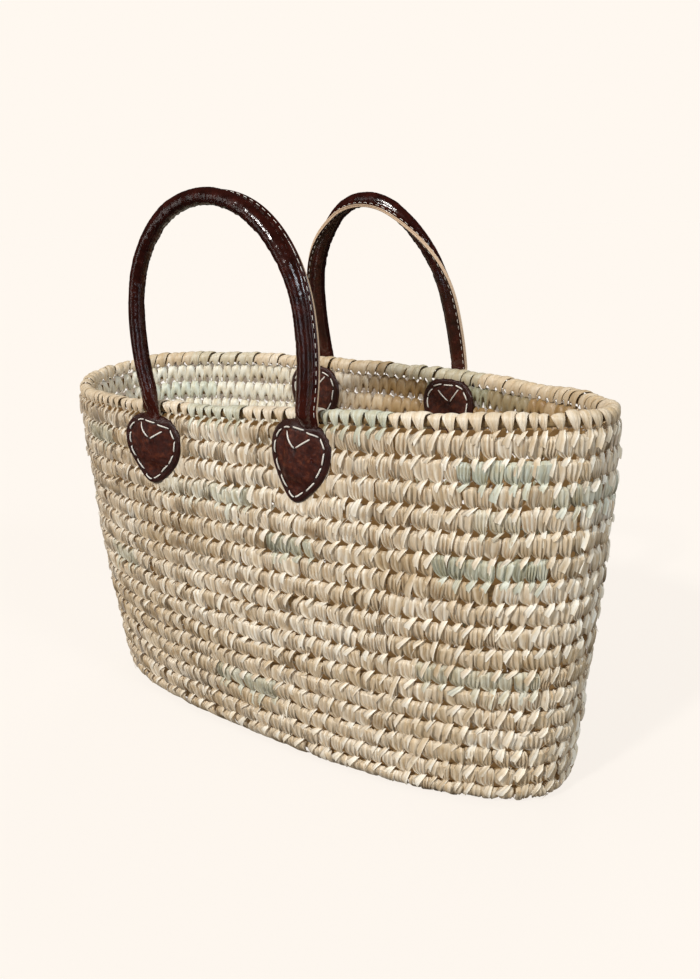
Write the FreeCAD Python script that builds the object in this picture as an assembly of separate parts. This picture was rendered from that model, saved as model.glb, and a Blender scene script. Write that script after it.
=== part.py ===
import FreeCAD, Part
import math
import os

from FreeCAD import Vector

# Oval market basket: coiled palm-leaf courses stacked into a flared wall, a flat coiled
# base, and two rolled leather handles sewn to the rim between leather patches.
# Millimetres. X runs along the basket, Z up, origin at the middle of the underside.

# Driving dimensions: the woven body
rim_height = 300.0
top_half_length = 268.0
top_half_width = 104.0
bottom_half_length = 232.0
bottom_half_width = 77.0
oval_squareness = 2.3
wall_belly = 5.0
wall_thickness = 8.0
coil_bulge = 1.2
wall_course_count = 17
course_height = 17.0
bottom_edge_inset = 6.0
bottom_edge_height = 12.0
base_thickness = 10.0
base_course_count = 4
base_course_width = 13.0
oval_points_per_quarter = 14

# Driving dimensions: the handles
hinge_height = 304.0
sleeve_radius = 6.3
sleeve_thickness = 1.8
core_radius = 4.4
seam_reach = 10.4
seam_thickness = 3.0
seam_start = 10.0
seam_stitch_pitch = 6.0
seam_stitch_length = 4.4
handles = {
    "front": {"side": -1, "foot": 80.0, "crest": 144.0, "lean": 0.0, "spread": 14.0,
              "leg_radius": 180.0, "seam_turn": 15.0},
    "rear": {"side": 1, "foot": 73.0, "crest": 145.8, "lean": 13.0, "spread": 4.0,
             "leg_radius": 330.0, "seam_turn": -30.0},
}

# Driving dimensions: the sewn leather patches that hold the handle ends
patch_half_spacing = 76.0
patch_centre_height = 262.0
patch_thickness = 2.2
patch_half_outline = [(31.5, 0.0), (31.0, 9.0), (27.5, 19.0), (19.0, 26.0), (9.0, 27.5),
                      (-4.0, 24.5), (-14.0, 18.0), (-23.0, 10.5), (-29.5, 3.6)]
patch_tip = -31.5
patch_gap = 0.15
tongue_half_width = 10.0
tongue_thickness = 3.2
tongue_bottom = -9.0
tongue_top = 28.0
stitch_inset = 5.4
stitch_width = 1.5
stitch_thickness = 0.8
patch_stitch_count = 13
stitch_fill = 0.78

rim_coil_height = rim_height - wall_course_count * course_height
pieces = {}


# The oval: a superellipse whose points are evenly spaced along its length

def oval_points(half_length, half_width, offset, z):
    power = 2.0 / oval_squareness
    fine = 1500
    quarter = []
    for i in range(fine + 1):
        turn = 0.5 * math.pi * i / fine
        quarter.append((half_length * math.cos(turn) ** power if i < fine else 0.0,
                        half_width * math.sin(turn) ** power))
    lengths = [0.0]
    for i in range(fine):
        step = math.hypot(quarter[i + 1][0] - quarter[i][0], quarter[i + 1][1] - quarter[i][1])
        lengths.append(lengths[-1] + step)
    picked = []
    index = 0
    for k in range(oval_points_per_quarter + 1):
        target = lengths[-1] * k / oval_points_per_quarter
        while index < fine - 1 and lengths[index + 1] < target:
            index += 1
        part = (target - lengths[index]) / (lengths[index + 1] - lengths[index])
        x = max(0.0, quarter[index][0] + part * (quarter[index + 1][0] - quarter[index][0]))
        y = max(0.0, quarter[index][1] + part * (quarter[index + 1][1] - quarter[index][1]))
        nx = (x / half_length) ** (oval_squareness - 1) / half_length
        ny = (y / half_width) ** (oval_squareness - 1) / half_width
        size = math.hypot(nx, ny)
        picked.append((x + offset * nx / size, y + offset * ny / size))
    ring = list(picked)
    ring += [(-x, y) for x, y in reversed(picked[:-1])]
    ring += [(-x, -y) for x, y in picked[1:]]
    ring += [(x, -y) for x, y in reversed(picked[1:-1])]
    return [Vector(x, y, z) for x, y in ring]


def smooth_loop(points):
    curve = Part.BSplineCurve()
    curve.interpolate(Points=points, PeriodicFlag=True)
    return Part.Wire([curve.toShape()])


def wall_oval(z):
    up = z / rim_height
    belly = wall_belly * 4.0 * up * (1.0 - up)
    half_length = bottom_half_length + (top_half_length - bottom_half_length) * up + belly
    half_width = bottom_half_width + (top_half_width - bottom_half_width) * up + belly
    return half_length, half_width


def wall_loop(z, offset):
    half_length, half_width = wall_oval(z)
    return smooth_loop(oval_points(half_length, half_width, offset, z))


def bottom_inset(z):
    if z >= bottom_edge_height:
        return 0.0
    return bottom_edge_inset * (1.0 - z / bottom_edge_height) ** 2


def course_bulge(z):
    return coil_bulge * math.sin(math.pi * (z / course_height % 1.0))


def wall_y(x, z):
    half_length, half_width = wall_oval(z)
    return half_width * (1.0 - (abs(x) / half_length) ** oval_squareness) ** (1.0 / oval_squareness)


# Woven courses

def course_ring(heights, outer_offsets, inner_offsets):
    outer = Part.makeLoft([wall_loop(z, o) for z, o in zip(heights, outer_offsets)], True, False)
    inner = Part.makeLoft([wall_loop(z, o) for z, o in zip(heights, inner_offsets)], True, False)
    return outer.cut(inner)


for course in range(wall_course_count):
    low = course * course_height
    heights = [low, low + 0.5 * course_height, low + course_height]
    outer = [-bottom_inset(z) for z in heights]
    outer[1] += coil_bulge
    inner = [-wall_thickness - bottom_inset(z) for z in heights]
    inner[1] -= coil_bulge
    pieces["wall_course_%02d" % (course + 1)] = course_ring(heights, outer, inner)

rim_bottom = rim_height - rim_coil_height
rim_sections = [(0.0, 0.0, 0.0), (0.5, coil_bulge, coil_bulge), (0.8, 0.2, 0.2),
                (1.0, -3.0, -3.0)]
pieces["rim_coil"] = course_ring(
    [rim_bottom + part * rim_coil_height for part, _, _ in rim_sections],
    [out for _, out, _ in rim_sections],
    [-wall_thickness - back for _, _, back in rim_sections])

base_half_length = bottom_half_length
base_half_width = bottom_half_width
wall_inner_offset = -wall_thickness - bottom_edge_inset
base_loops = [smooth_loop(oval_points(base_half_length, base_half_width, wall_inner_offset, 0.0))]
for ring in range(1, base_course_count + 1):
    inset = wall_thickness + bottom_edge_inset + ring * base_course_width
    base_loops.append(smooth_loop(oval_points(base_half_length - inset, base_half_width - inset,
                                              0.0, 0.0)))
rise = Vector(0, 0, base_thickness)
for ring in range(base_course_count):
    outer_disc = Part.Face(base_loops[ring]).extrude(rise)
    inner_disc = Part.Face(base_loops[ring + 1]).extrude(rise)
    pieces["base_course_%d" % (ring + 1)] = outer_disc.cut(inner_disc)
pieces["base_centre"] = Part.Face(base_loops[-1]).extrude(rise)


# Patches, tongues and their stitches, each built flat in its own frame:
# u along the wall, v up the wall, w out of the wall

def patch_frame(x, side, face):
    z = patch_centre_height
    step = 2.0
    along = Vector(2 * step, side * (wall_y(x + step, z) - wall_y(x - step, z)), 0)
    up = Vector(0, side * (wall_y(x, z + step) - wall_y(x, z - step)), 2 * step)
    w = along.cross(up)
    w.normalize()
    if w.y * side * face < 0:
        w = w * -1.0
    v = up - w * up.dot(w)
    v.normalize()
    u = v.cross(w)
    offset = 0.0 if face > 0 else -wall_thickness
    origin = Vector(x, side * (wall_y(x, z) + offset), z)
    highest = 0.0
    for i in range(-7, 8):
        for j in range(-16, 17):
            px = x + 4.0 * i
            pz = z + 2.0 * j
            py = side * (wall_y(px, pz) + offset + face * course_bulge(pz))
            highest = max(highest, (Vector(px, py, pz) - origin).dot(w))
    origin = origin + w * (highest + patch_gap)
    return FreeCAD.Placement(FreeCAD.Matrix(u.x, v.x, w.x, origin.x, u.y, v.y, w.y, origin.y,
                                            u.z, v.z, w.z, origin.z, 0, 0, 0, 1))


def patch_outline(inset):
    right = [(u, v) for v, u in patch_half_outline]
    points = right + [(0.0, patch_tip)] + [(-u, v) for u, v in reversed(right[1:])]
    if not inset:
        return points
    moved = []
    for i, (u, v) in enumerate(points):
        before = points[i - 1]
        after = points[(i + 1) % len(points)]
        du = after[0] - before[0]
        dv = after[1] - before[1]
        size = math.hypot(du, dv)
        moved.append((u + inset * dv / size, v - inset * du / size))
    return moved


def crown_height(u, v):
    across = min(1.0, max(0.0, (crown_foot_half - abs(u)) / crown_slope))
    down = min(1.0, max(0.0, (v - crown_bottom) / crown_slope))
    return patch_thickness + crown_rise * min(across, down)


crown_rise = tongue_thickness + 0.3
crown_slope = 4.0
crown_foot_half = tongue_half_width + 2.4 + crown_slope
crown_bottom = tongue_bottom - 2.4 - crown_slope


def plate(w_low, w_high):
    loop = smooth_loop([Vector(u, v, w_low) for u, v in patch_outline(0.0)])
    return Part.Face(loop).extrude(Vector(0, 0, w_high - w_low))


def box(u0, u1, v0, v1, w0, w1):
    return Part.makeBox(u1 - u0, v1 - v0, w1 - w0, Vector(u0, v0, w0))


def rectangle(u_half, v0, v1, w):
    corners = [Vector(-u_half, v0, w), Vector(u_half, v0, w), Vector(u_half, v1, w),
               Vector(-u_half, v1, w)]
    return Part.makePolygon(corners + corners[:1])


def outer_patch():
    top = patch_half_outline[0][0] + 5.0
    crown = Part.makeLoft([rectangle(crown_foot_half, crown_bottom, top, patch_thickness - 0.5),
                           rectangle(crown_foot_half, crown_bottom, top, patch_thickness),
                           rectangle(crown_foot_half - crown_slope, crown_bottom + crown_slope,
                                     top, patch_thickness + crown_rise)], True, True)
    body = plate(0.0, patch_thickness).fuse(crown.common(plate(0.0, 12.0))).removeSplitter()
    pocket = box(-tongue_half_width - 0.2, tongue_half_width + 0.2, tongue_bottom - 0.2, top,
                 -1.0, tongue_thickness + 0.3)
    return body.cut(pocket)


def stitch_ends():
    outline = patch_outline(stitch_inset)
    loop = outline + outline[:1]
    fine = []
    for (u0, v0), (u1, v1) in zip(loop[:-1], loop[1:]):
        for k in range(12):
            fine.append((u0 + (u1 - u0) * k / 12.0, v0 + (v1 - v0) * k / 12.0))
    fine.append(fine[0])
    lengths = [0.0]
    for (u0, v0), (u1, v1) in zip(fine[:-1], fine[1:]):
        lengths.append(lengths[-1] + math.hypot(u1 - u0, v1 - v0))

    def point_at(distance):
        for i in range(len(lengths) - 1):
            if lengths[i + 1] >= distance:
                part = (distance - lengths[i]) / (lengths[i + 1] - lengths[i])
                return (fine[i][0] + part * (fine[i + 1][0] - fine[i][0]),
                        fine[i][1] + part * (fine[i + 1][1] - fine[i][1]))
        return fine[-1]

    pitch = lengths[-1] / patch_stitch_count
    ends = []
    for k in range(patch_stitch_count):
        ends.append((point_at(k * pitch), point_at((k + stitch_fill) * pitch)))
    ends.append(((-11.0, 22.0), (-1.0, 11.0)))
    ends.append(((11.0, 22.0), (1.0, 11.0)))
    return ends


def stitches(height_at, body):
    solids = []
    for (u0, v0), (u1, v1) in stitch_ends():
        lift = 0.1 + 0.5 * stitch_thickness
        start = Vector(u0, v0, height_at(u0, v0) + lift)
        end = Vector(u1, v1, height_at(u1, v1) + lift)
        x_axis = end - start
        length = x_axis.Length
        x_axis.normalize()
        y_axis = Vector(0, 0, 1).cross(x_axis)
        y_axis.normalize()
        z_axis = x_axis.cross(y_axis)
        bar = Part.makeBox(length, stitch_width, stitch_thickness,
                           Vector(0, -0.5 * stitch_width, -0.5 * stitch_thickness))
        bar.Placement = FreeCAD.Placement(FreeCAD.Matrix(
            x_axis.x, y_axis.x, z_axis.x, start.x, x_axis.y, y_axis.y, z_axis.y, start.y,
            x_axis.z, y_axis.z, z_axis.z, start.z, 0, 0, 0, 1))
        above = bar.cut(body)
        solids += [solid for solid in above.Solids if solid.Volume > 0.5]
    return solids


def placed(shape, placement):
    moved = shape.copy()
    moved.Placement = placement.multiply(moved.Placement)
    return moved


def ellipse_loop(centre, long_axis, short_axis, long_half, short_half):
    points = []
    for k in range(24):
        turn = 2.0 * math.pi * k / 24
        points.append(centre + long_axis * (long_half * math.cos(turn))
                      + short_axis * (short_half * math.sin(turn)))
    return smooth_loop(points)


rim_gap = 0.8
hinge_y = (wall_y(patch_half_spacing, rim_height - 0.5 * rim_coil_height) + coil_bulge + rim_gap
           + sleeve_radius)
stub_top = hinge_height - sleeve_radius - 1.5
stub_half_width = 6.6
stub_half_depth = 3.3
stub_clearance = 0.5
neck_room = 0.35

outer_body = outer_patch()
inner_body = plate(0.0, patch_thickness)
for end, setup in handles.items():
    side = setup["side"]
    for hand, sign in (("left", -1), ("right", 1)):
        name = "%s_%s" % (end, hand)
        x = sign * patch_half_spacing
        foot_x = sign * setup["foot"]
        outside = patch_frame(x, side, 1)
        inside = patch_frame(x, side, -1)
        pieces[name + "_outer_patch"] = placed(outer_body, outside)
        pieces[name + "_inner_patch"] = placed(inner_body, inside)
        outer_rows = [placed(s, outside) for s in stitches(crown_height, outer_body)]
        inner_rows = [placed(s, inside) for s in stitches(lambda u, v: patch_thickness, inner_body)]
        pieces[name + "_patch_thread"] = Part.makeCompound(outer_rows + inner_rows)

        flat = placed(box(-tongue_half_width, tongue_half_width, tongue_bottom, tongue_top,
                          0.1, tongue_thickness + 0.1), outside)
        mid = 0.5 * tongue_thickness + 0.1
        low_centre = outside.multVec(Vector(0, tongue_top - 0.5, mid))
        low_long = outside.Rotation.multVec(Vector(1, 0, 0))
        low_short = outside.Rotation.multVec(Vector(0, 0, 1))
        if low_long.x < 0:
            low_long = low_long * -1.0
            low_short = low_short * -1.0
        rim_face = side * (wall_y(foot_x, stub_top) + coil_bulge + stub_clearance)
        top_centre = Vector(foot_x, rim_face + side * stub_half_depth, stub_top)
        top_short = Vector(0, low_short.y / abs(low_short.y), 0)
        def neck(room):
            return Part.makeLoft(
                [ellipse_loop(low_centre, low_long, low_short, tongue_half_width - 0.6 + room,
                              mid - 0.2 + room),
                 ellipse_loop(top_centre, Vector(1, 0, 0), top_short, stub_half_width + room,
                              stub_half_depth + room)], True, True)

        stub = neck(0.0)
        pieces[name + "_outer_patch"] = pieces[name + "_outer_patch"].cut(neck(neck_room))
        pieces[name + "_handle_tongue"] = flat.fuse(stub)


# Handles: the centre line is five arcs that meet tangentially, from the right foot over
# the crest to the left foot, in a plane that leans about the hinge line

def handle_arcs(setup):
    # heading is measured from the vertical, positive away from the middle of the arch
    start = math.radians(setup["spread"])
    leg_radius = setup["leg_radius"]
    leg_end = math.radians(-8.0)
    shoulder_end = math.radians(-50.0)
    crest_end = math.radians(-90.0)
    x_left = -setup["foot"] - leg_radius * (math.cos(leg_end) - math.cos(start))
    v_left = setup["crest"] - leg_radius * (math.sin(start) - math.sin(leg_end))
    a = math.cos(shoulder_end) - math.cos(leg_end)
    b = math.cos(crest_end) - math.cos(shoulder_end)
    c = math.sin(leg_end) - math.sin(shoulder_end)
    d = math.sin(shoulder_end) - math.sin(crest_end)
    det = a * d - b * c
    shoulder_radius = (x_left * d - b * v_left) / det
    crest_radius = (a * v_left - c * x_left) / det
    bare = seam_start / leg_radius
    return [(leg_radius, bare, False), (leg_radius, start - leg_end - bare, True),
            (shoulder_radius, leg_end - shoulder_end, True),
            (crest_radius, 2.0 * (shoulder_end - crest_end), True),
            (shoulder_radius, leg_end - shoulder_end, True),
            (leg_radius, start - leg_end - bare, True), (leg_radius, bare, False)]


def handle_solids(setup):
    hinge = Vector(0, setup["side"] * hinge_y, hinge_height)
    heading = math.radians(setup["spread"])
    point = Vector(setup["foot"], 0, 0) + hinge
    turn = math.radians(setup["seam_turn"])
    sleeve_parts = []
    core_parts = []
    thread = []
    ends = []
    for radius, angle, has_seam in handle_arcs(setup):
        tangent = Vector(math.sin(heading), 0, math.cos(heading))
        outward = Vector(math.cos(heading), 0, -math.sin(heading))
        centre = point - outward * radius
        if not ends:
            ends.append((point, tangent))
        rings = [Part.Wire([Part.Circle(point, tangent, r).toShape()])
                 for r in (sleeve_radius, sleeve_radius - sleeve_thickness, core_radius)]
        spin = Vector(0, -1, 0)
        degrees = math.degrees(angle)
        tube = Part.Face(rings[0]).revolve(centre, spin, degrees)
        hollow = Part.Face(rings[1]).revolve(centre, spin, degrees)
        sleeve_parts.append(tube.cut(hollow))
        core_parts.append(Part.Face(rings[2]).revolve(centre, spin, degrees))
        reach = outward * math.cos(turn) + Vector(0, 1, 0) * math.sin(turn)
        across = outward * -math.sin(turn) + Vector(0, 1, 0) * math.cos(turn)
        if has_seam:
            half = 0.5 * seam_thickness
            start = point + reach * (sleeve_radius - 1.0)
            stop = point + reach * seam_reach
            corners = [start - across * half, stop - across * half, stop + across * half,
                       start + across * half]
            seam = Part.Face(Part.makePolygon(corners + corners[:1]))
            sleeve_parts.append(seam.revolve(centre, spin, degrees).cut(hollow))
            thread += seam_stitches(point, centre, outward, radius, angle, turn)
        point = centre + rotate_heading(outward, -angle) * radius
        heading -= angle
    ends.append((point, Vector(math.sin(heading), 0, math.cos(heading)) * -1.0))
    for where, direction in ends:
        ball = Part.makeSphere(sleeve_radius, where, direction, -90, 0, 360)
        hole = Part.makeSphere(sleeve_radius - sleeve_thickness, where, direction, -90, 0, 360)
        sleeve_parts.append(ball.cut(hole))
    sleeve = sleeve_parts[0].multiFuse(sleeve_parts[1:]).removeSplitter()
    core = core_parts[0].multiFuse(core_parts[1:]).removeSplitter()
    lean = setup["lean"] * setup["side"]
    leaned = []
    for shape in (core, sleeve, Part.makeCompound(thread)):
        moved = shape.copy()
        moved.rotate(hinge, Vector(1, 0, 0), lean)
        leaned.append(moved)
    return leaned


def rotate_heading(vector, angle):
    # turn a direction in the XZ plane; positive is from +Z towards +X
    return Vector(vector.x * math.cos(angle) + vector.z * math.sin(angle), vector.y,
                  vector.z * math.cos(angle) - vector.x * math.sin(angle))


def seam_stitches(point, centre, outward, radius, angle, turn):
    length = radius * angle
    count = max(1, int(length / seam_stitch_pitch))
    bars = []
    for k in range(count):
        part = (k + 0.5) / count
        out = rotate_heading(outward, -angle * part)
        along = rotate_heading(out, -0.5 * math.pi)
        where = centre + out * radius
        reach = out * math.cos(turn) + Vector(0, 1, 0) * math.sin(turn)
        across = out * -math.sin(turn) + Vector(0, 1, 0) * math.cos(turn)
        for face in (-1, 1):
            middle = (where + reach * (0.5 * (sleeve_radius + seam_reach))
                      + across * (face * (0.5 * seam_thickness + 0.35)))
            third = along.cross(reach)
            bar = Part.makeBox(seam_stitch_length, 0.9, 0.5,
                               Vector(-0.5 * seam_stitch_length, -0.45, -0.25))
            bar.Placement = FreeCAD.Placement(FreeCAD.Matrix(
                along.x, reach.x, third.x, middle.x, along.y, reach.y, third.y, middle.y,
                along.z, reach.z, third.z, middle.z, 0, 0, 0, 1))
            bars.append(bar)
    return bars


for end, setup in handles.items():
    core, sleeve, thread = handle_solids(setup)
    pieces[end + "_handle_core"] = core
    pieces[end + "_handle_sleeve"] = sleeve
    pieces[end + "_handle_seam_thread"] = thread

os.makedirs("parts", exist_ok=True)
for name, shape in pieces.items():
    shape.exportStep("parts/%s.step" % name)
    box_now = shape.BoundBox
    print(name, shape.isValid(), len(shape.Solids), round(shape.Volume),
          [round(value, 1) for value in (box_now.XMin, box_now.YMin, box_now.ZMin,
                                         box_now.XMax, box_now.YMax, box_now.ZMax)])
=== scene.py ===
import math
import bpy
import numpy as np
from mathutils import Matrix


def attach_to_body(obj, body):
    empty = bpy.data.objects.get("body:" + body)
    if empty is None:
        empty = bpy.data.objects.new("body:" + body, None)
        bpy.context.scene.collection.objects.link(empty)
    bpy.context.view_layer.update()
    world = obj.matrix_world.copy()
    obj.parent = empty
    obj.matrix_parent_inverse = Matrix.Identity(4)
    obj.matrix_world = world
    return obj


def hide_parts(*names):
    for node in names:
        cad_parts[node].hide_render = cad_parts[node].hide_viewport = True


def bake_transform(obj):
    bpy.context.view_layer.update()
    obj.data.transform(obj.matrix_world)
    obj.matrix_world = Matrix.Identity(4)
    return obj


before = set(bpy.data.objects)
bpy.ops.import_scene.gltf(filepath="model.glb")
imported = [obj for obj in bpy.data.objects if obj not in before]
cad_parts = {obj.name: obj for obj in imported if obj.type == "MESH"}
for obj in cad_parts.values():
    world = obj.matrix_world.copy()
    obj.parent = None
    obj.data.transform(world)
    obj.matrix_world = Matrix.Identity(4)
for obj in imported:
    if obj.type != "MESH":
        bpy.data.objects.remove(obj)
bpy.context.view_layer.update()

# Coiled palm-leaf market basket. Shapes are worked out in millimetres and stored in metres.
rng = np.random.default_rng(20)

# the woven body
rim_height = 300.0
course_height = 17.0
wall_courses = 17
rim_bottom = wall_courses * course_height
rim_coil_height = 11.0
squareness = 2.3
foot_half_length, foot_half_width = 232.0, 77.0
flare_length, flare_width = 34.5, 27.0
belly_swell = 20.0
mean_perimeter = 1150.0
leaf_thickness = 0.4

# the handles and their patches
hinge_height = 304.0
hinge_y = 109.63
sleeve_radius = 6.2
patch_z = 262.0
sides = {"front": -1, "rear": 1}


# ---------------------------------------------------------------- small tools

def value_noise(x, y, seed):
    # smooth noise from -1 to 1, with one random value at each whole x and y
    x, y = np.broadcast_arrays(np.asarray(x, float), np.asarray(y, float))
    i, j = np.floor(x).astype(np.int64), np.floor(y).astype(np.int64)
    fx, fy = x - i, y - j
    fx, fy = fx * fx * (3 - 2 * fx), fy * fy * (3 - 2 * fy)

    def corner(a, b):
        # an integer hash
        n = (a * 374761393 + b * 668265263 + seed * 974711) & 0x7FFFFFFF
        n = ((n ^ (n >> 13)) * 1274126177) & 0x7FFFFFFF
        return ((n ^ (n >> 16)) & 0xFFFF) / 32767.5 - 1.0

    low = corner(i, j) * (1 - fx) + corner(i + 1, j) * fx
    high = corner(i, j + 1) * (1 - fx) + corner(i + 1, j + 1) * fx
    return low * (1 - fy) + high * fy


def smoothstep(x):
    x = np.clip(x, 0.0, 1.0)
    return x * x * (3 - 2 * x)


def unit(v):
    return v / np.maximum(np.linalg.norm(v, axis=-1, keepdims=True), 1e-12)


def signed_power(value, power):
    return np.sign(value) * np.abs(value) ** power


def run_length(points):
    # distance along a line of points
    steps = np.linalg.norm(np.diff(points, axis=0), axis=1)
    return np.concatenate([[0], np.cumsum(steps)])


def round_turn(count):
    return np.linspace(0, 2 * math.pi, count + 1)[:-1]


def build_mesh(name, verts_mm, faces, attributes=None, materials=(), face_material=None,
               sharp=50.0):
    # faces is an (n, 4) array, or a list that mixes triangles and quads
    mesh = bpy.data.meshes.new(name)
    verts = np.asarray(verts_mm, dtype=np.float64).reshape(-1, 3) * 0.001
    if isinstance(faces, np.ndarray):
        count = len(faces)
        mesh.vertices.add(len(verts))
        mesh.vertices.foreach_set("co", verts.ravel().astype(np.float32))
        mesh.loops.add(4 * count)
        mesh.loops.foreach_set("vertex_index", faces.ravel().astype(np.int32))
        mesh.polygons.add(count)
        mesh.polygons.foreach_set("loop_start", np.arange(0, 4 * count, 4, dtype=np.int32))
        mesh.update(calc_edges=True)
    else:
        mesh.from_pydata([tuple(v) for v in verts], [], faces)
    if face_material is not None:
        mesh.polygons.foreach_set("material_index", np.asarray(face_material, dtype=np.int32))
    for key, values in (attributes or {}).items():
        values = np.asarray(values, dtype=np.float32)
        kind = "FLOAT" if values.ndim == 1 else "FLOAT_VECTOR"
        attribute = mesh.attributes.new(key, kind, "POINT")
        attribute.data.foreach_set("value" if kind == "FLOAT" else "vector", values.ravel())
    for material in materials:
        mesh.materials.append(material)
    mesh.shade_smooth()
    mesh.set_sharp_from_angle(angle=math.radians(sharp))
    mesh.update()
    obj = bpy.data.objects.new(name, mesh)
    bpy.context.scene.collection.objects.link(obj)
    return obj


def attach(obj, slot, *replaced):
    # a piece of the basket's body, which the handles move against
    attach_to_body(obj, "basket")
    if replaced:
        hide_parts(*replaced)


def ring_quads(rings, around, closed=False):
    # quads between rings of points; a closed ring of rings joins its last to its first
    i, j = np.meshgrid(np.arange(rings if closed else rings - 1), np.arange(around),
                       indexing="ij")
    i2, j2 = (i + 1) % rings, (j + 1) % around
    quads = np.stack([i * around + j, i2 * around + j, i2 * around + j2, i * around + j2], -1)
    return quads.reshape(-1, 4)


turned = [0, 3, 2, 1]


def shell_faces(count, rows, cols):
    # quads of closed thin shells: a front grid, a back grid and the edge between them
    grid = np.arange(rows * cols).reshape(rows, cols)
    half = rows * cols

    def edge(line, flip=False):
        a, b = (line[1:], line[:-1]) if flip else (line[:-1], line[1:])
        return np.stack([a, b, half + b, half + a], -1)

    front = np.stack([grid[:-1, :-1], grid[:-1, 1:], grid[1:, 1:], grid[1:, :-1]], -1)
    front = front.reshape(-1, 4)
    quads = np.concatenate([front, half + front[:, ::-1], edge(grid[0], True), edge(grid[-1]),
                            edge(grid[:, 0]), edge(grid[:, -1], True)])
    return (quads[None] + (np.arange(count) * 2 * half)[:, None, None]).reshape(-1, 4)


# ---------------------------------------------------------------- the wall's surface

def oval_table():
    # the unit oval, even in distance along the wall, with its mean half sizes
    turn = np.linspace(0.0, 2.0 * math.pi, 6001)
    x, y = (signed_power(wave, 2.0 / squareness) for wave in (np.cos(turn), np.sin(turn)))
    length = np.concatenate([[0], np.cumsum(np.hypot(np.diff(x) * 255.0, np.diff(y) * 95.0))])
    share = np.linspace(0.0, 1.0, 1601)
    return (share, np.interp(share, length / length[-1], x),
            np.interp(share, length / length[-1], y))


oval_share, oval_x, oval_y = oval_table()

# how the hand-made basket differs from an even oval, in millimetres: the ends bend towards
# the front (at the foot, at the rim), and the rim is shorter and wavy
end_shift = {"left": (-7.26, -3.45), "right": (-1.54, -14.0)}
end_squeeze = {"left": 4.0, "right": 3.0}
side_wave = 2.61
rim_waves = (3.97, 3.43, 0.44, -5.43)


def oval_at(u):
    u = np.mod(u, 1.0)
    return np.interp(u, oval_share, oval_x), np.interp(u, oval_share, oval_y)


def end_bend(ox, left, right):
    return left * np.clip(-ox, 0, 1) ** 2 + right * np.clip(ox, 0, 1) ** 2


def wall_base(u, z):
    ox, oy = oval_at(u)
    t = z / rim_height
    belly = belly_swell * t * (1.0 - t)
    half_length = foot_half_length + flare_length * t + belly
    half_width = foot_half_width + flare_width * t + belly
    left, right = (foot * (1 - t) + rim * t for foot, rim in end_shift.values())
    y = half_width * oy + end_bend(ox, left, right) + t * side_wave * np.sin(math.pi * ox)
    c, s = signed_power(ox, squareness / 2), signed_power(oy, squareness / 2)
    wave = (rim_waves[0] * c + rim_waves[1] * s + rim_waves[2] * (c * c - s * s)
            + rim_waves[3] * 2 * s * c)
    x = (half_length * ox - end_squeeze["right"] * t * np.clip(ox, 0, 1)
         + end_squeeze["left"] * t * np.clip(-ox, 0, 1))
    return np.stack([x, y, z + t * t * wave], axis=-1)


def wall_inset(z):
    # the rounded lower edge
    return np.where(z < 12.0, 6.0 * (1.0 - np.clip(z, 0, 12) / 12.0) ** 2, 0.0)


def wall_frame(u, z):
    du, dz = 0.0015, 1.5
    along = unit(wall_base(u + du, z) - wall_base(u - du, z))
    up = unit(wall_base(u, z + dz) - wall_base(u, z - dz))
    return up, unit(np.cross(along, up))


def wall(u, z, out):
    # a point of the wall: share of the way round, height, and distance outwards
    up, normal = wall_frame(u, z)
    lumps = 0.9 * value_noise(u * 46, z / 30.0, 5) + 0.5 * value_noise(u * 110, z / 13.0, 6)
    lift = 0.8 * value_noise(u * 40, z / 60.0, 8)
    fade = np.clip(z / 20.0, 0, 1)
    return (wall_base(u, z) + normal * (out - wall_inset(z) + lumps * fade)[..., None]
            + up * (lift * fade)[..., None])


def share_at(x, z, side):
    # the share of the way round at a place along the front or rear of the even oval
    t = z / rim_height
    half_length = foot_half_length + 36.0 * t + belly_swell * t * (1 - t)
    pick = oval_share >= 0.5 if side < 0 else oval_share <= 0.5
    return float(np.interp(-side * x / half_length, -side * oval_x[pick], oval_share[pick]))


def perimeter_at(z):
    pts = wall_base(np.linspace(0, 1, 721), np.full(721, float(z)))
    return float(run_length(pts)[-1])


# where the leather patches are sewn: their place along the wall, turn in degrees, width, how
# far the outer edge lifts off the wall, and how much lower than the others they lie
patches = {
    ("front", "left"): {"x": -88.0, "tilt": -12.0, "width": 1.12, "lift": 0.15, "drop": 3.5},
    ("front", "right"): {"x": 68.0, "tilt": -12.0, "width": 0.97, "lift": 0.0, "drop": 0.0},
    ("rear", "left"): {"x": -76.0, "tilt": 3.0, "width": 1.0, "lift": 0.0, "drop": 0.0},
    ("rear", "right"): {"x": 76.0, "tilt": -3.0, "width": 1.0, "lift": 0.0, "drop": 0.0},
}
for key, patch in patches.items():
    patch["share"] = share_at(patch["x"], patch_z, sides[key[0]])
    patch["turn"] = math.radians(patch["tilt"])
patch_perimeter = perimeter_at(patch_z)


def pressed(u, z):
    # 1 under a leather patch, which presses the weave flat, and 0 away from it
    amount = np.zeros(np.broadcast(u, z).shape)
    for patch in patches.values():
        pu = (np.mod(u - patch["share"] + 0.5, 1.0) - 0.5) * patch_perimeter / patch["width"]
        pv = z - patch_z + patch["drop"]
        cos, sin = math.cos(patch["turn"]), math.sin(patch["turn"])
        across, down = (pu * cos + pv * sin) / 29.5, (pv * cos - pu * sin) / 33.0
        reach = np.sqrt(across ** 2 + down ** 2)
        amount = np.maximum(amount, smoothstep((1.16 - reach) / 0.2))
    return amount


def no_press(u, z):
    return np.zeros(np.broadcast(u, z).shape)


# ---------------------------------------------------------------- materials

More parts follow.
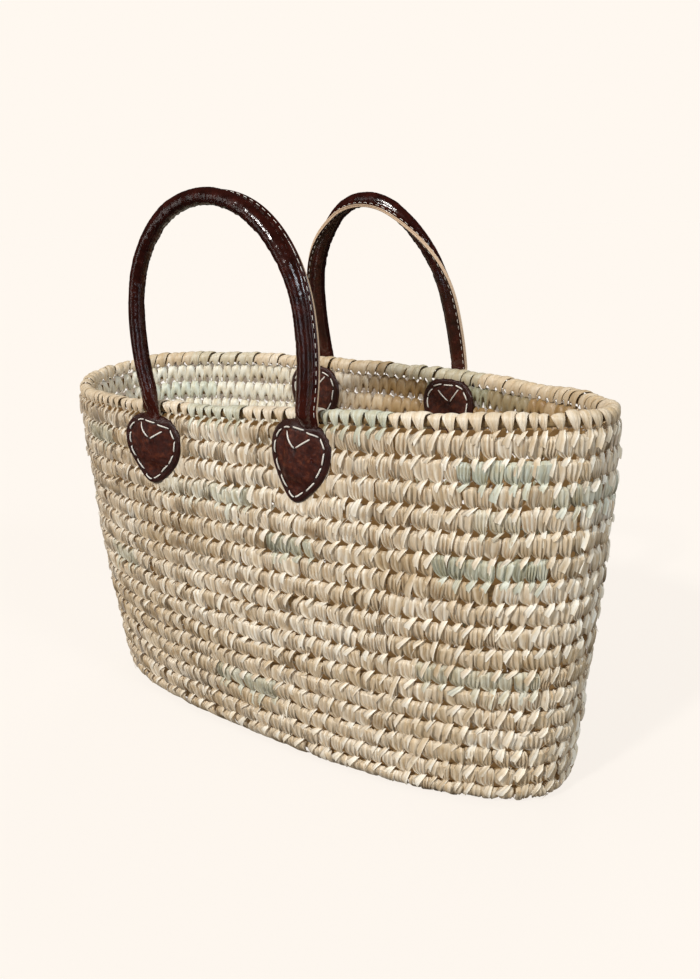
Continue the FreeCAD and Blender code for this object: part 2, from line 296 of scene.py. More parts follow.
def colour(value):
    # a linear colour from sRGB digits, from one grey level, or as it is
    if isinstance(value, float):
        return (value, value, value, 1.0)
    if not isinstance(value, str):
        return value
    parts = [int(value[i:i + 2], 16) / 255.0 for i in (0, 2, 4)]
    return tuple(part / 12.92 if part <= 0.04045 else ((part + 0.055) / 1.055) ** 2.4
                 for part in parts) + (1.0,)


def add_node(tree, kind, **settings):
    # settings name sockets, which take a link or a value, or else properties of the node
    made = tree.nodes.new(kind)
    for key, value in settings.items():
        if key in made.inputs.keys():
            plug(tree, value, made.inputs[key])
        else:
            setattr(made, key, value)
    return made


def plug(tree, value, socket):
    if hasattr(value, "links"):
        tree.links.new(value, socket)
    else:
        socket.default_value = value


class Look:
    # a material, with short ways to wire its nodes

    def __init__(self, name):
        self.material = bpy.data.materials.new(name)
        self.material.use_nodes = True
        self.tree = self.material.node_tree
        self.shader = self.tree.nodes["Principled BSDF"]

    def field(self, name, output="Fac"):
        return add_node(self.tree, "ShaderNodeAttribute", attribute_name=name).outputs[output]

    def place(self):
        return add_node(self.tree, "ShaderNodeTexCoord").outputs["Object"]

    def scaled(self, vector, scale):
        return add_node(self.tree, "ShaderNodeMapping", Vector=vector,
                        Scale=scale).outputs["Vector"]

    def noise(self, vector, scale, detail, **settings):
        return add_node(self.tree, "ShaderNodeTexNoise", Vector=vector, Scale=scale,
                        Detail=detail, **settings).outputs["Fac"]

    def ramp(self, factor, *stops):
        made = add_node(self.tree, "ShaderNodeValToRGB", Fac=factor)
        elements = made.color_ramp.elements
        while len(elements) < len(stops):
            elements.new(0.5)
        for element, (position, shade) in zip(elements, stops):
            element.position = position
            element.color = colour(shade)
        return made.outputs["Color"]

    def mix(self, kind, factor, a, b):
        made = add_node(self.tree, "ShaderNodeMix", data_type="RGBA", blend_type=kind)
        plug(self.tree, factor, made.inputs[0])
        plug(self.tree, colour(a), made.inputs[6])
        plug(self.tree, colour(b), made.inputs[7])
        return made.outputs[2]

    def sum(self, a, b, times):
        # a + b * times
        scaled = add_node(self.tree, "ShaderNodeMath", operation="MULTIPLY")
        total = add_node(self.tree, "ShaderNodeMath", operation="ADD")
        for socket, value in zip(tuple(scaled.inputs)[:2] + tuple(total.inputs)[:2],
                                 (b, times, a, scaled.outputs[0])):
            plug(self.tree, value, socket)
        return total.outputs[0]

    def dress(self, base, roughness, height, strength, distance, specular=0.5):
        bump = add_node(self.tree, "ShaderNodeBump", Height=height, Strength=strength,
                        Distance=distance)
        for name, value in (("Base Color", base), ("Roughness", roughness),
                            ("Specular IOR Level", specular), ("Normal", bump.outputs["Normal"])):
            plug(self.tree, value, self.shader.inputs[name])
        return self.material


def palm_material():
    look = Look("palm_leaf")
    fibre = look.field("fibre", "Vector")
    tone, green, shade, crease_shade, glow = (look.field(name) for name in
                                        ("tone", "green", "shade", "crease_shade", "glow"))
    lines = look.noise(look.scaled(fibre, (2.6, 0.11, 1.0)), 1.0, 3.0, Roughness=0.6)
    broad = look.noise(look.scaled(fibre, (0.42, 0.12, 1.0)), 1.0, 2.0, Roughness=0.5)
    cream = look.ramp(tone, (0.0, "A08257"), (0.35, "CCB89A"), (0.7, "DFCFB8"), (1.0, "F3EBDC"))
    leafy = look.ramp(tone, (0.0, "9CA18C"), (1.0, "D6DACB"))
    base = look.mix("MIX", green, cream, leafy)
    base = look.mix("MULTIPLY", 0.7, base,
                    look.ramp(lines, (0.28, 0.36), (0.38, 0.90), (0.5, 1.0)))
    base = look.mix("MULTIPLY", 0.8, base, look.ramp(broad, (0.3, "EBDCC2"), (0.6, 1.0)))
    # painted shadow: dark brown lines in the folds and along the strip edges
    base = look.mix("MIX", crease_shade, base, "43341F")
    # painted shade: where shade is set (the outward faces of the inner wraps, seen through the
    # gaps), the leaf turns brown
    base = look.mix("MIX", shade, base, look.mix("MULTIPLY", 1.0, base, "B09468"))
    # painted glow: emission stands in for light through the thin leaf from the open inside, brown
    # where shade is set and cream where glow is set
    through = look.mix("MIX", shade, 0.0, "8F7048")
    through = look.mix("MIX", glow, through, (0.5, 0.46, 0.40, 1.0))
    plug(look.tree, through, look.shader.inputs["Emission Color"])
    look.shader.inputs["Emission Strength"].default_value = 0.40
    return look.dress(base, look.ramp(lines, (0.3, 0.52), (0.7, 0.30)), lines, 0.55, 0.0004)


def core_material():
    look = Look("palm_core")
    grain = look.noise(look.place(), 420.0, 3.0)
    return look.dress(look.ramp(grain, (0.3, "7E6540"), (0.7, "A88C62")), 0.85, grain,
                      0.6, 0.0006)


def leather_material():
    look = Look("dark_leather_gloss")
    skin, wear = look.field("skin", "Vector"), look.field("wear")
    grain = add_node(look.tree, "ShaderNodeTexVoronoi", feature="DISTANCE_TO_EDGE", Vector=skin,
                     Scale=0.9).outputs["Distance"]
    cloudy = look.noise(skin, 0.12, 4.0, Roughness=0.6)
    crinkle = look.noise(look.scaled(skin, (0.45, 1.1, 1.0)), 1.0, 5.0, Roughness=0.65,
                         Distortion=0.6)
    tint = look.ramp(cloudy, (0.3, "1A0805"), (0.55, "310F08"), (0.8, "4C1B10"))
    base = look.mix("MIX", wear, tint, "45190F")
    base = look.mix("MULTIPLY", 0.5, base, look.ramp(grain, (0.0, 0.35), (0.12, 1.0)))
    return look.dress(base, look.ramp(cloudy, (0.35, 0.12), (0.7, 0.24)),
                      look.sum(crinkle, grain, 0.35), 0.4, 0.0003, 0.6)


def raw_edge_material():
    look = Look("raw_leather_edge")
    fuzz = look.noise(look.field("skin", "Vector"), 1.6, 3.0)
    return look.dress(look.ramp(fuzz, (0.3, "B08C6C"), (0.7, "E6CDB0")), 0.8, fuzz, 0.5, 0.0004)


def patch_material():
    look = Look("patch_leather")
    skin, centre, hole = look.field("skin", "Vector"), look.field("centre"), look.field("hole")
    mottle = look.noise(skin, 0.22, 5.0, Roughness=0.65)
    fine = look.noise(skin, 2.2, 4.0, Roughness=0.7)
    band = look.ramp(mottle, (0.3, "220D09"), (0.7, "3D1810"))
    suede = look.ramp(mottle, (0.3, "260C06"), (0.52, "45190C"), (0.75, "743A20"))
    base = look.mix("MIX", centre, band, suede)
    base = look.mix("MULTIPLY", 0.7, base, look.ramp(fine, (0.35, 0.72), (0.6, 1.0)))
    # painted shade: near black in the needle hole's dent where the long stitches meet
    base = look.mix("MIX", hole, base, "120606")
    return look.dress(base, look.ramp(centre, (0.0, 0.30), (1.0, 0.42)),
                      look.sum(fine, mottle, 2.0), 0.5, 0.0007, 0.35)


def thread_material():
    look = Look("waxed_thread")
    twist = add_node(look.tree, "ShaderNodeTexWave", Vector=look.place(), Scale=900.0,
                     Distortion=1.5).outputs["Fac"]
    return look.dress(look.ramp(twist, (0.0, "CFC6B8"), (1.0, "F3EEE4")), 0.5, twist,
                      0.5, 0.0002)


palm, core_palm = palm_material(), core_material()
leather, raw_edge, patch_leather = leather_material(), raw_edge_material(), patch_material()
thread = thread_material()


# ---------------------------------------------------------------- the woven courses

def edge_curve(points, rows):
    points = np.array(points)
    return np.interp(rows, points[:, 0], points[:, 1])


def leaf_runs(count):
    # one leaf strip makes several stitches before the next is laid in
    tone, green = np.zeros(count), np.zeros(count)
    i = 0
    while i < count:
        run = int(rng.integers(3, 9))
        shade = float(np.clip(rng.normal(0.63, 0.12), 0.05, 1.0))
        leaf = float(rng.random() < 0.13) * rng.uniform(0.35, 0.9)
        tone[i:i + run] = shade
        green[i:i + run] = leaf
        i += run
    return np.clip(tone + rng.normal(0, 0.07, count), 0, 1), green


class Weave:
    # one course of stitches: where it lies, and the leaf strips gathered into one mesh

    def __init__(self, place, centres, pitch, mm, low, height, press):
        self.place, self.mm, self.low, self.height, self.press = place, mm, low, height, press
        self.centres, self.pitch = centres[:, None, None], pitch[:, None, None]
        self.count = len(centres)
        self.verts, self.faces, self.total = [], [], 0
        self.fields = {key: [] for key in ("fibre", "tone", "green", "crease_shade", "shade", "glow")}

    def grid(self, rows, cols):
        # the way up a strip from 0 to 1, and across it from -1 to 1
        return np.linspace(0, 1, rows)[None, :, None], np.linspace(-1, 1, cols)[None, None, :]

    def jitter(self, size):
        # one number for each stitch
        return rng.normal(0, size, self.count).clip(-2 * size, 2 * size)[:, None, None]

    def spread(self, low, high):
        return rng.uniform(low, high, self.count)[:, None, None]

    def strips(self, across, z, out, thick=leaf_thickness):
        # closed thin shells about the surface through the given points
        u, z, out = np.broadcast_arrays(self.centres + self.pitch * across, z, out)
        dz, do = np.gradient(z, axis=1), np.gradient(out, axis=1)
        size = np.sqrt(dz ** 2 + do ** 2) + 1e-9
        nz, no = -do / size * thick / 2, dz / size * thick / 2
        return np.stack([self.place(u, z + nz, out + no), self.place(u, z - nz, out - no)],
                        axis=1)

    def flattened(self, across, v, out, share):
        # height and distance outwards, pressed flat under the leather patches
        z = self.low + self.height * v
        hold = self.press(self.centres + self.pitch * across, z)
        return z, np.where(hold > 0, out * (1 - share * hold), out), hold

    def add(self, shells, across, along, tone, green, crease_shade=0.0, back_lit=(0.0, 0.0),
            glow=(0.0, 0.0)):
        # back_lit and glow differ between a strip's front and its back
        count, _, rows, cols, _ = shells.shape
        self.verts.append(shells)
        self.faces.append(shell_faces(count, rows, cols) + self.total)
        self.total += count * 2 * rows * cols
        ident = self.spread(0, 400)
        fibre = np.stack(np.broadcast_arrays(across + ident, along + ident * 0.37, ident),
                         axis=-1)
        self.fields["fibre"].append(np.broadcast_to(fibre[:, None], shells.shape))
        for key, value in (("tone", tone), ("green", green), ("crease_shade", crease_shade)):
            value = np.asarray(value, dtype=float)
            value = value[:, None, None] if value.ndim == 1 else value
            value = np.broadcast_to(value, (count, rows, cols))[:, None]
            self.fields[key].append(np.broadcast_to(value, shells.shape[:4]))
        for key, value in (("shade", back_lit), ("glow", glow)):
            value = np.array(value)[None, :, None, None]
            self.fields[key].append(np.broadcast_to(value, shells.shape[:4]))

    def build(self, name):
        fields = {key: np.concatenate([part.reshape(-1, 3) if key == "fibre" else
                                       part.reshape(-1) for part in parts])
                  for key, parts in self.fields.items()}
        return build_mesh(name, np.concatenate([part.reshape(-1, 3) for part in self.verts]),
                          np.concatenate(self.faces), fields, [palm])


def outer_bodies(weave, tone, green):
    # the wide part of each stitch, with sharp pleats gathered to a neck at its lower right
    r, c = weave.grid(10, 17)
    jitter = weave.jitter
    left = edge_curve([(0, .10), (.09, -.06), (.20, -.30), (.36, -.46), (.85, -.52), (1, -.50)], r)
    right = edge_curve([(0, .36), (.10, .42), (.32, .48), (.62, .52), (.85, .53), (1, .50)], r)
    width = 1.05 + jitter(0.10)
    lean = jitter(0.15)
    across = 0.5 * (left + right) + 0.5 * (right - left) * c * width + lean * (r - 0.3)
    top = 0.90 + jitter(0.045) - 0.06 * np.abs(c) ** 4 + jitter(0.025) * c
    v = -0.05 + r * (top + 0.05)
    out = edge_curve([(0, -.4), (.12, .5), (.34, 1.2), (.6, 1.7), (.84, 1.8), (.94, 1.6),
                      (1.0, -.8)], r)
    # two to four pleats, each a slow rise and a sharp fall
    phase = weave.spread(0, 1)
    pleat_count = rng.integers(2, 5, weave.count)[:, None, None]
    saw = np.mod((c + 0.25 * jitter(0.5) * (1 - r)) * 0.5 * pleat_count + phase, 1)
    flip = np.where(rng.random(weave.count) < 0.35, 1.0, 0.0)[:, None, None]
    saw = saw * (1 - flip) + (1 - saw) * flip
    pleats = saw * (1 - smoothstep((saw - 0.82) / 0.18)) - 0.4
    fold = (1.0 - 0.55 * r) * (0.25 + 0.75 * smoothstep(r / 0.15))
    out = out + (3.1 + jitter(0.8)) * pleats * fold
    # painted shadow in the pleats' folds, fading towards the top of the strip
    line = smoothstep((saw - 0.70) / 0.13) * (1 - smoothstep((saw - 0.93) / 0.07))
    strong = weave.spread(0.25, 1.0)
    crease_shade = 0.95 * line * strong * np.clip(1.25 - 1.0 * r, 0, 1)
    out = out + 0.2 * (1 - c ** 2) * smoothstep(r * 2)
    out = out + jitter(0.35) + jitter(0.55) * c
    z, out, hold = weave.flattened(across, v, out, 0.75)
    # painted shadow along both edges of the strip, between neighbouring stitches
    edge_shade = smoothstep((np.abs(c) - 0.86) / 0.14) * (1 - 0.6 * smoothstep(r * 1.3 - 0.3))
    crease_shade = np.maximum(crease_shade, 0.75 * edge_shade * (0.6 + 0.4 * strong))
    # painted highlight: the tone is raised along the rising face of each pleat
    shine = 0.30 * smoothstep((saw - 0.35) / 0.3) * (1 - smoothstep((saw - 0.68) / 0.08))
    # painted light: the strip's back face glows cream (glow), standing in for light through the
    # thin leaf
    weave.add(weave.strips(across, z, out), across * weave.mm, v * weave.height,
              np.clip(tone[:, None, None] + shine - 0.06, 0, 1), green, crease_shade * (1 - hold),
              glow=(0.0, 1.0))


def outer_flaps(weave, tone, green):
    # the strip's end that slants over the course below
    r, c = weave.grid(7, 6)
    jitter = weave.jitter
    reach = 0.95 + jitter(0.24)
    reach = np.where(rng.random(weave.count)[:, None, None] < 0.14, reach * 1.5, reach)
    swing = jitter(0.15)
    taper = weave.spread(-0.10, 0.10)
    left_u = edge_curve([(0, -.30), (.35, -.28), (.7, -.10), (1, .10)], r)
    right_u = edge_curve([(0, .04), (.35, .16), (.7, .33), (1, .50)], r)
    left_u = left_u + (taper + swing) * (1 - r)
    right_u = right_u + (swing - taper) * (1 - r)
    left_v = -.40 * reach + (.40 * reach + .06) * r
    right_v = -.50 * reach + (.50 * reach + .10) * r
    side = 0.5 * (c + 1)
    across = left_u * (1 - side) + right_u * side
    ragged = jitter(0.05) * np.sin(c * 4.0) * (1 - r)
    v = left_v * (1 - side) + right_v * side + ragged
    out = edge_curve([(0, 2.3), (.3, 2.6), (.7, 2.3), (1, .6)], r)
    curl = 1.4 * side ** 3 * smoothstep((1 - r) * 2.5) * (1 + jitter(0.5))
    groove = 1.1 * np.abs(side - weave.spread(0.25, 0.7))
    out = out + curl - groove + jitter(0.5)
    z, out, _ = weave.flattened(across, v, out, 0.75)
    # painted shadow: dark lines along the flap's left edge and, on some flaps, near its right edge
    dark = 0.6 * smoothstep((0.16 - side) / 0.16) + 0.5 * smoothstep((side - 0.55) / 0.12) * (
        1 - smoothstep((side - 0.68) / 0.12)) * weave.spread(0, 1)
    # painted highlight: the flap's tone rises towards its right edge; its back face glows cream as
    # painted light through the thin leaf
    weave.add(weave.strips(across, z, out), side * 4.5, v * weave.height + 40.0,
              np.clip(tone[:, None, None] - 0.12 + 0.5 * side ** 2, 0, 1), green, dark,
              glow=(0.0, 1.0))


def inner_wraps(weave, tone, green, depth, gap=1.0, tuck=0.0):
    # the smooth inner face of each stitch; gap 0 closes the slits between the stitches
    r, c = weave.grid(8, 7)
    jitter = weave.jitter
    width = 0.95 + jitter(0.03)
    across = 0.49 * c * width - 0.36 * (r - 0.5) - 0.30
    shoulder = np.clip((-0.1 - c) / 0.9, 0, 1)
    top = 1.015 + 0.03 * (1 - gap) - gap * (0.44 + jitter(0.08)) * shoulder ** 1.3
    bottom = -tuck + gap * 0.38 * np.exp(-((c + 0.2) / 0.38) ** 2) * (1 + jitter(0.3))
    v = bottom + r * (top - bottom) + jitter(0.015)
    out = -edge_curve([(0, 7.0), (.12, 8.4), (.35, 9.2), (.6, 9.4), (.82, 8.8), (.94, 7.6),
                       (1, 6.2)], r) * depth / 9.2
    out = out - 0.9 * (1 - c ** 2) * np.sin(math.pi * r) ** 0.5
    out = out + jitter(0.22) + jitter(0.3) * c
    z, out, _ = weave.flattened(across, v, out, 0.08)
    # painted shade and painted light: the outward face, seen through the gaps, is painted brown
    # and glows brown (back_lit)
    weave.add(weave.strips(across, z, out), across * weave.mm, v * weave.height, tone, green,
              back_lit=(1.0, 0.0))


def rim_wraps(weave, tone, green):
    # whole wraps over the rim, from the outer foot over the top to the inner foot
    path = np.array([(.02, -.7), (.14, .0), (.30, .5), (.50, .7), (.68, .6), (.84, .0),
                     (.95, -1.2), (1.0, -2.8), (1.0, -4.8), (.95, -6.8), (.84, -8.3), (.66, -9.2),
                     (.44, -9.5), (.2, -9.2), (.0, -8.4)]) * (rim_coil_height, 1.0)
    rows, cols = len(path), 13
    left = np.array([.15, .05, -.09, -.23, -.36, -.45, -.48] + [-.49] * 8)
    right = np.array([.33, .36, .39, .42, .45, .47] + [.49] * 9)
    r, c = np.arange(rows)[:, None], np.linspace(-1, 1, cols)[None, :]
    across = (0.5 * (left + right))[:, None] + (0.48 * (right - left))[:, None] * c
    across = (across + 0.085 * np.clip(r - 6, 0, 9))[None] + weave.jitter(0.03)
    phase = weave.spread(0, 1)
    fold = np.clip(1 - r[None] / 7.0, 0, 1) ** 0.8
    saw = np.mod(c[None] * 1.5 + phase, 1)
    pleat = (saw * (1 - smoothstep((saw - 0.8) / 0.2)) - 0.4) * 1.8 * fold
    dome = 0.85 * (1 - c[None] ** 2) + weave.jitter(0.45) + weave.jitter(0.35) * c[None]
    notch = np.clip(r - 12, 0, 2) * 1.8 * np.exp(-((c - 0.23) / 0.4) ** 2)
    dz, do = np.gradient(path[:, 0]), np.gradient(path[:, 1])
    size = np.hypot(dz, do)
    nz, no = (-do / size)[None, :, None], (dz / size)[None, :, None]
    z = rim_bottom + path[:, :1][None] + notch[None] + nz * (pleat + dome)
    out = path[:, 1:][None] + no * (pleat + dome)
    weave.add(weave.strips(across, z, out, 0.45), across * weave.mm,
              run_length(path)[None, :, None], tone, green)


core_sides = 12


def core_piece(name, place, low, height, depth, half_height, half_depth, steps=420):
    # the bundle of fibre that the leaf is wrapped round, as one closed ring
    uu, tt = np.meshgrid(np.linspace(0, 1, steps + 1)[:-1], round_turn(core_sides),
                         indexing="ij")
    rough = 1 + 0.10 * value_noise(uu * steps / 2.5, tt * 2, int(low) + 3)
    verts = place(uu, low + 0.5 * height + half_height * np.sin(tt) * rough,
                  -depth + half_depth * np.cos(tt) * rough)
    attach(build_mesh(name, verts, ring_quads(steps, core_sides, True), None, [core_palm]),
           "palm_leaf")


def next_positions(positions, count):
    # the course above starts a third of a stitch along and may hold a stitch more
    while len(positions) < count:
        gap = int(rng.integers(0, len(positions) - 1))
        positions = np.insert(positions, gap + 1, 0.5 * (positions[gap] + positions[gap + 1]))
    number = len(positions)
    even = (np.arange(number) + 0.5) / number
    even = even + np.mean(positions - even)
    positions = 0.6 * positions + 0.4 * even + 0.37 / number
    return positions + rng.normal(0, 0.05 / number, number)


def pitches(positions):
    # the mean of the distances to the stitches on both sides
    around = np.concatenate([[positions[-1] - 1], positions, [positions[0] + 1]])
    return 0.5 * (around[2:] - around[:-2])


def near(positions, middle, reach, strength):
    # 1 around one share of the way round, fading to 0 at a distance
    return smoothstep(strength * (1 - np.abs(np.mod(positions, 1.0) - middle) / reach))


def wall_weave(positions, low, measured):
    mm = perimeter_at(measured) / len(positions)
    return Weave(wall, positions, pitches(positions), mm, low, course_height, pressed)


positions = (np.arange(80) + 0.5) / 80
for course in range(wall_courses):
    positions = next_positions(positions, 82 + int(2.6 * course))
    low = course * course_height
    tone, green = leaf_runs(len(positions))
    # painted shade: the lowest courses are darker towards the bottom
    tone = np.clip(tone - 0.14 * max(0.0, 1 - course / 8), 0, 1)
    weave = wall_weave(positions, low, low + 8)
    outer_bodies(weave, tone, green)
    if course:
        outer_flaps(weave, np.clip(tone + 0.22 + rng.normal(0, 0.08, len(tone)), 0, 1), green)
    # painted shade darkens the far right inside of the basket, and painted light makes the far
    # left paler and greener
    right_inside_shade, pale = near(positions, 0.13, 0.17, 1.8), near(positions, 0.42, 0.15, 1.5)
    inner_wraps(weave, np.clip(tone - 0.03 - 0.75 * right_inside_shade + 0.30 * pale, 0, 1),
                np.clip(green + 0.40 * pale, 0, 1), 9.0, min(course, 1))
    number = "%02d" % (course + 1)
    attach(weave.build("weave_course_" + number), "palm_leaf", "wall_course_" + number)
    core_piece("core_course_" + number, wall, low, course_height, 4.2, 4.3, 2.6)

positions = next_positions(positions, 127)
tone, green = leaf_runs(len(positions))
weave = wall_weave(positions, rim_bottom, 295)
# painted shade: the rim's wraps are darker at the far right inside, as on the wall below
rim_wraps(weave, np.clip(tone - 0.3 * near(positions, 0.13, 0.17, 1.8), 0, 1), green)
outer_flaps(weave, tone, green)
attach(weave.build("weave_rim"), "palm_leaf", "rim_coil")
core_piece("core_rim", wall, rim_bottom + 1.2, 8.4, 4.6, 3.2, 2.6)


def stray_fibres(count):
    # thin split ends of leaf that stand off the wall
    steps, ring = 7, 4
    t = np.linspace(0, 1, steps)[None, :]

    def draw(low, high):
        return rng.uniform(low, high, count)[:, None]

    u0, z0, length = draw(0, 1), draw(4, 292), draw(7, 17)
    angle = rng.normal(-1.9, 0.8, count)[:, None] + rng.normal(0, 0.5, count)[:, None] * t
    u = u0 + np.cumsum(np.cos(angle), axis=1) * length / steps / mean_perimeter
    z = np.clip(z0 + np.cumsum(np.sin(angle), axis=1) * length / steps, 3.0, 297.0)
    out = 2.0 + draw(-0.4, 3.6) * t ** 1.6
    size = ((0.34 - 0.24 * t) * draw(0.7, 1.2))[..., None]
    out = np.where(pressed(u, z) > 0.02, 1.0, out)
    turn = round_turn(ring)
    verts = wall(u[..., None] + size * np.cos(turn) / mean_perimeter,
                 z[..., None] + 0.6 * size * np.sin(turn), out[..., None] + size * np.sin(turn))
    ends = [(3, 2, 1, 0), range((steps - 1) * ring, steps * ring)]
    quads = np.vstack([ring_quads(steps, ring)[:, turned], ends])
    quads = quads[None] + (np.arange(count) * steps * ring)[:, None, None]
    fields = {key: np.zeros(count * steps * ring) for key in ("green", "shade", "crease_shade", "glow")}
    fields["tone"] = np.repeat(rng.uniform(0.5, 1.0, count), steps * ring)
    fields["fibre"] = verts.reshape(-1, 3) * 0.5
    attach(build_mesh("stray_fibres", verts, quads.reshape(-1, 4), fields, [palm]), "palm_leaf")


stray_fibres(230)


# the flat base: the same coil laid in ovals

def grounded(z):
    # the leaves under the base lie flat where they touch the ground
    return np.where(z < 0.5, 0.5 + 0.12 * (z - 0.5), z)


def base_place(inset_low, inset_high):
    foot_bends = [foot for foot, rim in end_shift.values()]

    def place(u, v_mm, out):
        ox, oy = oval_at(u)
        inset = inset_low + (inset_high - inset_low) * (1 - v_mm / (inset_low - inset_high + 1e-9))
        half_width = np.maximum(foot_half_width - inset, 0.02)
        spread = np.clip(half_width / 60.0, 0, 1)
        y = half_width * oy + end_bend(ox, *foot_bends) * spread
        return np.stack(np.broadcast_arrays((foot_half_length - inset) * ox, y,
                                            grounded(-out + 3.4)), axis=-1)
    return place


def base_ring(name, inset_low, inset_high, count, seed_shift):
    # v = 0 at the inner oval and the full height at the outer one; outwards is down
    height = inset_low - inset_high
    place = base_place(inset_low, inset_high)
    tone, green = leaf_runs(count)
    weave = Weave(place, (np.arange(count) + seed_shift) / count, np.full(count, 1.0 / count),
                  12.0, 0.0, height, no_press)
    outer_bodies(weave, tone, green)
    if inset_low < 70:
        outer_flaps(weave, tone, green)
    # the outermost wraps tuck in under the first wall course
    inner_wraps(weave, tone, green, 8.6, 0.0, 0.34 if inset_high < 15.0 else 0.05)
    attach(weave.build("weave_" + name), "palm_leaf", name)
    core_piece("core_" + name, place, 0.0, height, 4.2, height * 0.55, 2.7, 240)


wall_inside, base_course_width = 14.0, 13.0
for ring in range(4):
    inset = wall_inside + base_course_width * ring
    base_ring("base_course_%d" % (ring + 1), inset + base_course_width, inset, 78 - 6 * ring,
              0.37 * ring)
base_ring("base_centre", 77.0, 66.0, 52, 0.2)


# ---------------------------------------------------------------- leather patches

# the right half of a patch from its top to its lower side, as height and distance sideways
patch_half = [(31.5, 0.0), (31.0, 9.0), (27.5, 19.0), (19.0, 26.0), (9.0, 27.5),
              (-4.0, 25.0), (-14.0, 19.5), (-23.0, 12.5), (-29.3, 6.0)]
patch_low_tip = -31.5
stitch_inset = 5.4


def smooth_closed(points, count):
    # a smooth closed curve through the points, as count points at even distances
    points = np.array(points, dtype=float)
    number = len(points)
    t = np.linspace(0, number, count * 8 + 1)[:-1]
    i = np.floor(t).astype(int)
    f = (t - i)[:, None]
    p0, p1, p2, p3 = (points[(i + k) % number] for k in (-1, 0, 1, 2))
    curve = 0.5 * (2 * p1 + (p2 - p0) * f + (2 * p0 - 5 * p1 + 4 * p2 - p3) * f ** 2
                   + (3 * p1 - p0 - 3 * p2 + p3) * f ** 3)
    closed = np.vstack([curve, curve[:1]])
    length = run_length(closed)
    want = np.linspace(0, length[-1], count + 1)[:-1]
    return np.stack([np.interp(want, length, closed[:, k]) for k in (0, 1)], axis=-1)


def patch_outline(count, inset=0.0):
    # anticlockwise seen from outside, starting at the middle of the top edge
    right = [(u, v) for v, u in patch_half]
    points = right + [(0.0, patch_low_tip)] + [(-u, v) for u, v in reversed(right[1:])]
    loop = smooth_closed(points[::-1], count)
    if inset:
        step = unit(np.roll(loop, -1, axis=0) - np.roll(loop, 1, axis=0))
        loop = loop + inset * np.stack([-step[:, 1], step[:, 0]], axis=-1)
    return loop


def crown(u, v):
    # the bulge over the tongue
    return 3.4 * smoothstep((15.5 - np.abs(u)) / 8.0) * smoothstep((v + 17.0) / 10.0)


def edge_crown(u, v, edge):
    return crown(u, v) * (0.25 + 0.75 * smoothstep(edge / 5.0))


def needle_hole(u, v):
    # the dent where the two long stitches meet
    return np.exp(-(((u + 1.9) / 1.5) ** 2 + ((v - 10.2) / 1.5) ** 2))


def patch_height(u, v, edge, outer):
    # height of the leather's face over the weave, in millimetres
    puff = 2.1 * (1.0 - np.exp(-np.clip(edge, 0, None) / 0.8))
    groove = -0.45 * np.exp(-((edge - stitch_inset) / 1.1) ** 2)
    ripple = 0.22 * value_noise(u / 5.0, v / 5.0, 31) + 0.12 * value_noise(u / 2.0, v / 2.0, 32)
    top = puff + groove + ripple * smoothstep((edge - 4.0) / 5.0)
    if outer:
        top = top + edge_crown(u, v, edge)
    return top - needle_hole(u, v)


def patch_place(key, u, v, w, outer):
    # a point of a patch: across, up, and out from the weave
    patch = patches[key]
    cos, sin = math.cos(patch["turn"]), math.sin(patch["turn"])
    pu, pv = (u * cos - v * sin) * patch["width"], u * sin + v * cos
    # a stiff patch stands off the curve of the wall at its outer side
    off = patch["lift"] * np.clip(-pu, 0, None) ** 1.15
    out = 0.75 + w + off if outer else -9.35 - w
    return wall(patch["share"] + pu / patch_perimeter, patch_z - patch["drop"] + pv, out)


def patch_piece(key, outer):
    # rings of points from the middle outwards, for the face and again for the back
    around = 120
    loop = patch_outline(around)
    scale = np.concatenate([np.linspace(0, 1, 23)[1:-1] * 0.985, [0.975, 1.0]])
    scale = np.unique(np.round(scale, 5))
    rows = len(scale)
    size = rows * around
    pu, pv = np.moveaxis(loop[None] * scale[:, None, None], -1, 0)
    edge = (1 - scale)[:, None] * np.linalg.norm(loop, axis=-1)[None] * 0.93
    top = patch_height(pu, pv, edge, outer)
    under = np.maximum(edge_crown(pu, pv, edge) - 0.2, 0.0) if outer else 0 * top
    zero = np.zeros(1)
    middle_top = patch_height(zero, zero, np.array([27.0]), outer)
    middle_under = crown(zero, zero) - 0.2 if outer else zero
    verts = [patch_place(key, pu, pv, level, outer).reshape(-1, 3) for level in (top, under)]
    verts += [patch_place(key, zero, zero, level, outer)
              for level in (middle_top, middle_under)]
    front = ring_quads(rows, around)
    faces = front.tolist() + (size + front[:, ::-1]).tolist()
    for j in range(around):
        j2, last = (j + 1) % around, size - around
        faces += [(2 * size, j2, j), (size + j, size + j2, 2 * size + 1),
                  (last + j, size + last + j, size + last + j2, last + j2)]
    if not outer:
        faces = [face[::-1] for face in faces]
    flat = np.stack([pu, pv, 0 * pu + patches[key]["x"]], -1).reshape(-1, 3)
    centre = smoothstep((edge - 5.6) / 1.6).ravel()
    hole = needle_hole(pu, pv).ravel()
    fields = {"skin": np.concatenate([flat, flat, np.zeros((2, 3))]),
              "centre": np.concatenate([centre, centre, [1, 1]]),
              "hole": np.concatenate([hole, hole, [0, 0]])}
    name = "%s_%s_%s_patch" % (*key, "outer" if outer else "inner")
    attach(build_mesh("leather_" + name, np.concatenate(verts), faces, fields, [patch_leather],
                      sharp=70), "dark_leather", name)


def capsule(points, side, lift, half_width, half_height, around=8):
    # a fat stitch along points; side and lift are its cross directions
    count = len(points)
    swell = np.maximum(np.clip(1 - np.linspace(-1, 1, count) ** 6, 0, 1) ** 0.5, 0.12)[:, None]
    turn = round_turn(around)
    ring = (points[:, None] + side[:, None] * (half_width * swell * np.cos(turn))[..., None]
            + lift[:, None] * (half_height * swell * np.sin(turn))[..., None])
    faces = ring_quads(count, around)[:, turned].tolist()
    faces += [range(around)[::-1], range((count - 1) * around, count * around)]
    return ring.reshape(-1, 3), faces


